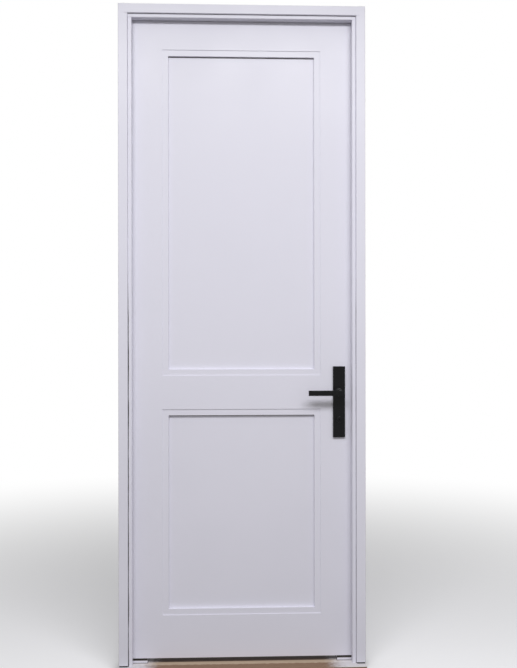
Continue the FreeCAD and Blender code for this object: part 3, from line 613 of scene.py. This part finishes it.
# %% [markdown]
# On the lock cylinder's end a thin ring shows where the turning plug meets its body. It could be cut
# into the solid, but it is a hairline in a small round face, so a bump sinks it. A real one is about a
# quarter of a millimetre wide, and it is drawn nearly three times as wide so that it shows. The distance
# from the cylinder's axis gives the ring, and leaving out Y puts it on both ends.

# %% The ring round the plug
PLUG_RADIUS, PLUG_RING_WIDTH, PLUG_RING_DEPTH = 0.0085, 0.0007, 0.0005
WITHOUT_Y = (1, 0, 1)


def plug_ring(tree, spot, centre, normal):
    """A groove round the plug, sunk into both ends of the cylinder."""
    flat = add(tree, "ShaderNodeVectorMath", (spot, WITHOUT_Y), operation="MULTIPLY")
    away = add(tree, "ShaderNodeVectorMath", (flat, centre), operation="DISTANCE")
    off = add(tree, "ShaderNodeMath", (away, PLUG_RADIUS), operation="SUBTRACT")
    off = add(tree, "ShaderNodeMath", (off,), operation="ABSOLUTE")
    height = add(tree, "ShaderNodeMapRange", (off, 0.0, PLUG_RING_WIDTH, 0.0, 1.0), **SMOOTH)
    groove = {"Height": height, "Strength": 1.0, "Distance": PLUG_RING_DEPTH, "Normal": normal}
    return add(tree, "ShaderNodeBump", groove)


print("plug radius in mm:", PLUG_RADIUS * 1000)

# %% [markdown]
# The lever set and the hinges are metal with a baked matt black powder coat. Powder melts into a thin
# skin with tiny dimples. Black without any surface would look like a hole, and a smooth one like glass.
# The skin is low in shine but not rough, so that edges and round parts catch a soft grey line. Real
# dimples are under half a millimetre wide, and they are drawn about three times as coarse so that they
# show.

# %% Black powder coat
COAT_BLACK = colour("#0B0B0D")
COAT_SHINE = 0.15
SMOOTHEST_COAT, ROUGHEST_COAT = 0.22, 0.30
WORN_PATCHES_PER_METRE, WEAR_LOW, WEAR_HIGH = 30.0, 0.3, 0.7
DIMPLE_WIDTH, DIMPLE_STRENGTH, DIMPLE_DEPTH = 0.0012, 0.3, 0.0002


def black_coat(name, ring_centre=None):
    """Matt black powder coat. With a centre, the plug's ring is sunk into the end of the cylinder."""
    material, tree, shader, _ = new_material(name)
    spot = add(tree, "ShaderNodeTexCoord").outputs["Object"]
    worn = {"Vector": spot, "Scale": WORN_PATCHES_PER_METRE, "Detail": 2.0}
    worn = add(tree, "ShaderNodeTexNoise", worn)
    handled = (worn, WEAR_LOW, WEAR_HIGH, SMOOTHEST_COAT, ROUGHEST_COAT)
    roughness = add(tree, "ShaderNodeMapRange", handled, **SMOOTH)
    dimples = add(tree, "ShaderNodeTexNoise", {"Vector": spot, "Scale": 1 / DIMPLE_WIDTH, "Detail": 1.0})
    skin = {"Height": dimples, "Strength": DIMPLE_STRENGTH, "Distance": DIMPLE_DEPTH}
    bump = add(tree, "ShaderNodeBump", skin)
    if ring_centre:
        bump = plug_ring(tree, spot, ring_centre, bump)
    fill(tree, shader, {"Base Color": COAT_BLACK, "Specular IOR Level": COAT_SHINE})
    fill(tree, shader, {"Roughness": roughness, "Normal": bump})
    return material


print("dimples every", DIMPLE_WIDTH * 1000, "mm")

# %% [markdown]
# The same coat is on the levers, their long plates, the spindle between them and all the hinges. The
# cylinder needs a coat of its own, because its ring is placed by the cylinder's middle, and on another
# piece the ring would cut through wherever that piece came close.

# %% Coat the lever set and the hinges
HINGE_COUNT = 4

cylinder_low, cylinder_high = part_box("lock_cylinder")
cylinder_middle = (cylinder_low + cylinder_high) / 2
powder_coat = black_coat("matt_black_powder_coat")
cylinder_coat = black_coat("matt_black_cylinder_with_plug", (cylinder_middle.x, 0.0, cylinder_middle.z))
hinges = tuple(f"hinge_{number}_" for number in range(1, HINGE_COUNT + 1))
hinge_nodes = [name for name in frame["nodes"] if name.startswith(hinges)]
put_on(powder_coat, *hinge_nodes)
put_on(powder_coat, "front_plate", "back_plate", "front_lever", "back_lever", "spindle")
put_on(cylinder_coat, "lock_cylinder")
print("hinge nodes:", len(hinge_nodes))

# %% [markdown]
# The lock's faceplate, its bolts and the strike are stainless steel, brushed along their length. Blender
# can stretch highlights without any pattern, but then no single scratch shows, so the scratches are
# noise that is stretched along the plates. They tint the steel, dull it and raise it at once, and give
# the eye a pale, streaky sheen. Real scratches are finer than a twentieth of a millimetre, and they are
# drawn half a millimetre wide so that they show.

# %% Brushed stainless steel
SCRATCH_WIDTH, SCRATCH_LENGTH = 0.0005, 0.04
SCRATCH_STRENGTH, SCRATCH_DEPTH = 0.2, 0.0001
SCRATCH_LOW, SCRATCH_HIGH = 0.2, 0.8
STEEL_DARK, STEEL_LIGHT = colour("#B9B7B2"), colour("#CCCBC8")
SMOOTHEST_STEEL, ROUGHEST_STEEL = 0.25, 0.42

brushed_steel, tree, shader, _ = new_material("brushed_stainless_steel")
spot = add(tree, "ShaderNodeTexCoord").outputs["Object"]
scratch_stretch = (1 / SCRATCH_WIDTH, 1 / SCRATCH_WIDTH, 1 / SCRATCH_LENGTH)
scratch_spot = add(tree, "ShaderNodeMapping", {"Vector": spot, "Scale": scratch_stretch})
scratches = add(tree, "ShaderNodeTexNoise", {"Vector": scratch_spot, "Scale": 1.0, "Detail": 2.0})
steel = add(tree, "ShaderNodeMix", {"Factor": scratches, "A": STEEL_DARK, "B": STEEL_LIGHT}, **MIX)
brushed = (scratches, SCRATCH_LOW, SCRATCH_HIGH, SMOOTHEST_STEEL, ROUGHEST_STEEL)
roughness = add(tree, "ShaderNodeMapRange", brushed, **SMOOTH)
skin = {"Height": scratches, "Strength": SCRATCH_STRENGTH, "Distance": SCRATCH_DEPTH}
bump = add(tree, "ShaderNodeBump", skin)
fill(tree, shader, {"Base Color": steel, "Metallic": 1.0, "Roughness": roughness, "Normal": bump})
put_on(brushed_steel, "lock_faceplate", "latch_bolt", "dead_bolt", "strike_plate")
print("scratches", SCRATCH_LENGTH * 1000, "mm long")

# %% [markdown]
# The packers that lift the jambs off the board are dark moulded plastic, from a tool with a sanded face.
# That leaves a fine matt grain, so the eye gets a flat dark grey with no highlight. Plain black would do
# from afar, but the packers lie in shadow, and the grain keeps them from looking like a gap. It is drawn
# several times as coarse as the real one so that it shows.

# %% Moulded plastic
MOULD_GRAIN_WIDTH, MOULD_GRAIN_STRENGTH, MOULD_GRAIN_DEPTH = 0.0015, 0.3, 0.0002
PLASTIC_DARK, PLASTIC_LIGHT = colour("#1C1C1D"), colour("#262627")
PLASTIC_ROUGHNESS = 0.55

packer_plastic, tree, shader, _ = new_material("moulded_dark_plastic")
spot = add(tree, "ShaderNodeTexCoord").outputs["Object"]
mould_grain = add(tree, "ShaderNodeTexNoise", {"Vector": spot, "Scale": 1 / MOULD_GRAIN_WIDTH, "Detail": 2.0})
plastic = add(tree, "ShaderNodeMix", {"Factor": mould_grain, "A": PLASTIC_DARK, "B": PLASTIC_LIGHT}, **MIX)
skin = {"Height": mould_grain, "Strength": MOULD_GRAIN_STRENGTH, "Distance": MOULD_GRAIN_DEPTH}
bump = add(tree, "ShaderNodeBump", skin)
fill(tree, shader, {"Base Color": plastic, "Roughness": PLASTIC_ROUGHNESS, "Normal": bump})
put_on(packer_plastic, "hinge_packer", "lock_packer")
print("every node has a finish:", all(o.data.materials[0].use_nodes for o in frame["nodes"].values()))

# %% [markdown]
# Countersunk screws hold the hinge plates, the faceplate, the strike and the back lever plate. Only
# their heads show: flat discs with a cross recess, which stand out by a hair. Each could be modelled and
# copied, but they are all one shape, so Geometry Nodes make one. The head is a short cone, half of it
# sunk into its plate, and two crossed bars cut the recess.

# %% One screw head
HEAD_CORNERS = 20
HEAD_TOP_SHARE = 0.86


def screw_head(tree, given):
    """One flat head with a cross recess, standing on the origin."""
    top_radius = add(tree, "ShaderNodeMath", (given["Head radius"], HEAD_TOP_SHARE), operation="MULTIPLY")
    twice_rise = add(tree, "ShaderNodeMath", (given["Head rise"], 2.0), operation="MULTIPLY")
    cone = {
        "Vertices": HEAD_CORNERS,
        "Radius Top": top_radius,
        "Radius Bottom": given["Head radius"],
        "Depth": twice_rise,
    }
    head = add(tree, "GeometryNodeMeshCone", cone)
    lowered = add(tree, "ShaderNodeMath", (given["Head rise"], -1.0), operation="MULTIPLY")
    sunk = add(tree, "ShaderNodeCombineXYZ", {"Z": lowered})
    head = add(tree, "GeometryNodeTransform", {"Geometry": head, "Translation": sunk})
    cut = add(tree, "GeometryNodeMeshBoolean", {"Mesh 1": head}, operation="DIFFERENCE")
    recess_top = add(tree, "ShaderNodeCombineXYZ", {"Z": given["Head rise"]})
    for along, across in (("X", "Y"), ("Y", "X")):
        size = {along: given["Slot length"], across: given["Slot width"], "Z": given["Slot depth"]}
        size = add(tree, "ShaderNodeCombineXYZ", size)
        bar = add(tree, "GeometryNodeMeshCube", {"Size": size})
        bar = add(tree, "GeometryNodeTransform", {"Geometry": bar, "Translation": recess_top})
        fill(tree, cut, {"Mesh 2": bar})
    return cut


print("corners round a screw head:", HEAD_CORNERS)

# %% [markdown]
# Many places for one shape is what Geometry Nodes are good at. The tree takes a small mesh whose points
# are the places, puts a head on each, and turns it to face the way that the point says. Its sizes are
# inputs with names, so one tree serves large and small screws. It ends by making the copies real, and
# by giving them their finish, because copies that are only referred to are lost in an export.

# %% A tree that puts a screw head on every point
SIZE_INPUTS = ("Head radius", "Head rise", "Slot length", "Slot width", "Slot depth")


def screw_tree():
    """Geometry Nodes: a screw head on each point, facing its own way."""
    tree = bpy.data.node_groups.new("countersunk_screws", "GeometryNodeTree")
    panel = tree.interface
    panel.new_socket("Places", in_out="INPUT", socket_type="NodeSocketGeometry")
    for name in SIZE_INPUTS:
        panel.new_socket(name, in_out="INPUT", socket_type="NodeSocketFloat")
    panel.new_socket("Finish", in_out="INPUT", socket_type="NodeSocketMaterial")
    panel.new_socket("Screws", in_out="OUTPUT", socket_type="NodeSocketGeometry")
    given = add(tree, "NodeGroupInput").outputs
    head = screw_head(tree, given)
    facing = add(tree, "GeometryNodeInputNamedAttribute", {"Name": "facing"}, data_type="FLOAT_VECTOR")
    turned = add(tree, "FunctionNodeAlignRotationToVector", {"Vector": facing}, axis="Z")
    places = {"Points": given["Places"], "Instance": head, "Rotation": turned}
    placed = add(tree, "GeometryNodeInstanceOnPoints", places)
    real = add(tree, "GeometryNodeRealizeInstances", {"Geometry": placed})
    done = add(tree, "GeometryNodeSetMaterial", {"Geometry": real, "Material": given["Finish"]})
    add(tree, "NodeGroupOutput", {"Screws": done})
    return tree


screws = screw_tree()
print("screw tree inputs:", [item.name for item in screws.interface.items_tree if item.in_out == "INPUT"])

# %% [markdown]
# Each butt hinge has four screws on both plates, in a zigzag, because screws in one line would split
# the timber along its grain. Their places could be typed in, but they are measured from the packed
# nodes, so the screws stay on their plates if a size changes. The zigzag gives how far above the
# hinge's middle each screw is, and how far behind the line of the pins.

# %% Screw places on the hinges
leaf_swing, lever_turn = frame["joints"]
PIN_LINE = Vector(leaf_swing["pos_m"])
JAMB_FACE_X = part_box("hinge_jamb")[1].x
LEAF_EDGE_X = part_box("hinge_stile")[0].x
ZIGZAG = ((-0.038, -0.018), (-0.013, -0.029), (0.013, -0.018), (0.038, -0.029))
TO_LOCK_SIDE, TO_HINGE_SIDE = Vector((1, 0, 0)), Vector((-1, 0, 0))

frame_hinge_screws, leaf_hinge_screws = [], []
for hinge in hinges:
    low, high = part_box(f"{hinge}frame_plate")
    for up, back in ZIGZAG:
        level = (low.z + high.z) / 2 + up
        frame_hinge_screws.append((Vector((JAMB_FACE_X, PIN_LINE.y + back, level)), TO_LOCK_SIDE))
        leaf_hinge_screws.append((Vector((LEAF_EDGE_X, PIN_LINE.y + back, level)), TO_HINGE_SIDE))
print("hinge screws:", len(frame_hinge_screws + leaf_hinge_screws))

# %% [markdown]
# The faceplate and the strike have one screw near each end, on the line of the spindle. The long plate
# on the back has two as well, which pull the front plate on from behind: that is why the front plate
# shows none. One function measures the ends of any upright plate.

# %% Screw places on the lock and the back plate
SPINDLE_Y = lever_turn["pos_m"][1]
STRIKE_INSET, FACEPLATE_INSET, BACK_PLATE_INSET = 0.012, 0.009, 0.014
TO_BACK = Vector((0, 1, 0))


def end_screws(node, x, y, facing, inset):
    """One screw near each end of an upright plate."""
    low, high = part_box(node)
    return [(Vector((x, y, level)), facing) for level in (low.z + inset, high.z - inset)]


strike_x, faceplate_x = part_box("strike_plate")[0].x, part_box("lock_faceplate")[1].x
plate_low, plate_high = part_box("back_plate")
plate_x = (plate_low.x + plate_high.x) / 2
strike_screws = end_screws("strike_plate", strike_x, SPINDLE_Y, TO_HINGE_SIDE, STRIKE_INSET)
faceplate_screws = end_screws("lock_faceplate", faceplate_x, SPINDLE_Y, TO_LOCK_SIDE, FACEPLATE_INSET)
back_plate_screws = end_screws("back_plate", plate_x, plate_high.y, TO_BACK, BACK_PLATE_INSET)
print("other screws:", len(strike_screws + faceplate_screws + back_plate_screws))

# %% [markdown]
# Now the screws are driven in. The tree could stay live on its object, but an export wants plain meshes,
# so its result becomes one, for each body and finish, and screws swing with the leaf that they are
# driven into. The sizes go in by each socket's own identifier, because two sockets may share a name,
# and before the tree is first worked out. Hinge screws are the largest, and lock screws are smaller.

# %% Make the screws
HEAD_RISE, SLOT_DEPTH = 0.0004, 0.0014
SLOT_LENGTH_SHARE, SLOT_WIDTH_SHARE = 1.1, 0.26
HINGE_SCREW, STRIKE_SCREW, SMALL_SCREW = 0.0042, 0.0038, 0.0036


def drive_screws(name, places, body, finish, radius):
    """Put screw heads on the given places, as one plain mesh that rides on a body."""
    mesh = bpy.data.meshes.new(f"{name}_places")
    mesh.from_pydata([spot for spot, _ in places], [], [])
    facing = mesh.attributes.new("facing", "FLOAT_VECTOR", "POINT")
    facing.data.foreach_set("vector", [value for _, way in places for value in way])
    base = bpy.data.objects.new(f"{name}_places", mesh)
    scene.collection.objects.link(base)
    modifier = base.modifiers.new("screws", "NODES")
    modifier.node_group = screws
    sizes = (radius, HEAD_RISE, radius * SLOT_LENGTH_SHARE, radius * SLOT_WIDTH_SHARE, SLOT_DEPTH)
    wanted = dict(zip(SIZE_INPUTS, sizes), Finish=finish)
    for item in screws.interface.items_tree:
        if item.in_out == "INPUT" and item.name in wanted:
            modifier[item.identifier] = wanted[item.name]
    evaluated = base.evaluated_get(bpy.context.evaluated_depsgraph_get())
    heads = bpy.data.meshes.new_from_object(evaluated)
    bpy.data.objects.remove(base)
    piece = bpy.data.objects.new(name, heads)
    scene.collection.objects.link(piece)
    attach(piece, body)
    print(name, "faces:", len(heads.polygons))


drive_screws("frame_hinge_screws", frame_hinge_screws, "frame", powder_coat, HINGE_SCREW)
drive_screws("leaf_hinge_screws", leaf_hinge_screws, "leaf", powder_coat, HINGE_SCREW)
drive_screws("strike_screws", strike_screws, "frame", brushed_steel, STRIKE_SCREW)
drive_screws("faceplate_screws", faceplate_screws, "leaf", brushed_steel, SMALL_SCREW)
drive_screws("back_plate_screws", back_plate_screws, "leaf", powder_coat, SMALL_SCREW)
